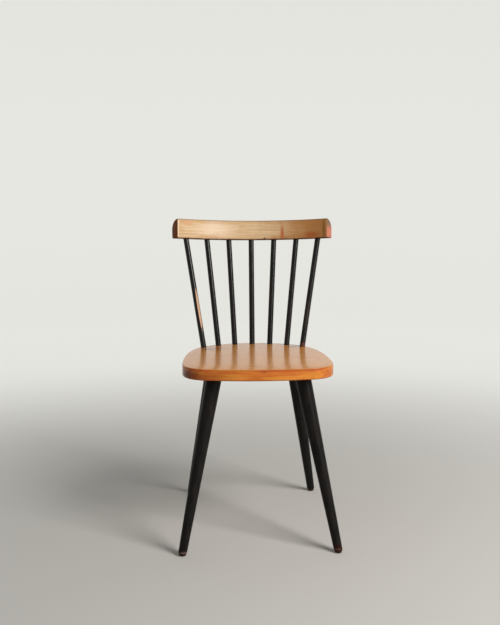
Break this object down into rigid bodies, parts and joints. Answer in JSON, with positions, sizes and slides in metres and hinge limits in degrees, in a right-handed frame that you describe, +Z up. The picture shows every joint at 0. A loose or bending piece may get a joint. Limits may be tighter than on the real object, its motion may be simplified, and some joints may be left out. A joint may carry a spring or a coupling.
{
  "type": "dining chair",
  "caption": "Armless spindle-back dining chair with a curved wooden crest rail, a solid wooden seat and round tapered splayed legs.",
  "frame": {"origin": "on the floor, at the middle of the chair's overall width and depth", "axes": "+Z up, -Y towards the front of the chair, +X to the right of a person who stands in front and looks at it"},
  "size_m": [0.4422, 0.4759, 0.7902],
  "materials": {
    "seat_wood": "satin varnish over long grain that runs left to right",
    "rail_wood": "satin varnish, worn, over long grain along the rail",
    "spindle_paint": "black semi-gloss paint on wood, chipped in places",
    "leg_paint": "black satin paint on wood, worn at the feet",
    "glide": "scuffed dark brown",
    "nail_steel": "plain wire nail"
  },
  "bodies": {
    "root": {"seat_front_board": "seat_wood", "seat_second_board": "seat_wood", "seat_third_board": "seat_wood", "seat_rear_board": "seat_wood", "crest_rail": "rail_wood", "spindle_1": "spindle_paint", "spindle_2": "spindle_paint", "spindle_3": "spindle_paint", "spindle_4": "spindle_paint", "spindle_5": "spindle_paint", "spindle_6": "spindle_paint", "spindle_7": "spindle_paint", "leg_front_left": "leg_paint", "leg_front_right": "leg_paint", "leg_rear_left": "leg_paint", "leg_rear_right": "leg_paint", "glide_front_left": "glide", "glide_front_right": "glide", "glide_rear_left": "glide", "glide_rear_right": "glide", "glide_nail_front_left": "nail_steel", "glide_nail_front_right": "nail_steel", "glide_nail_rear_left": "nail_steel", "glide_nail_rear_right": "nail_steel"}
  },
  "joints": []
}
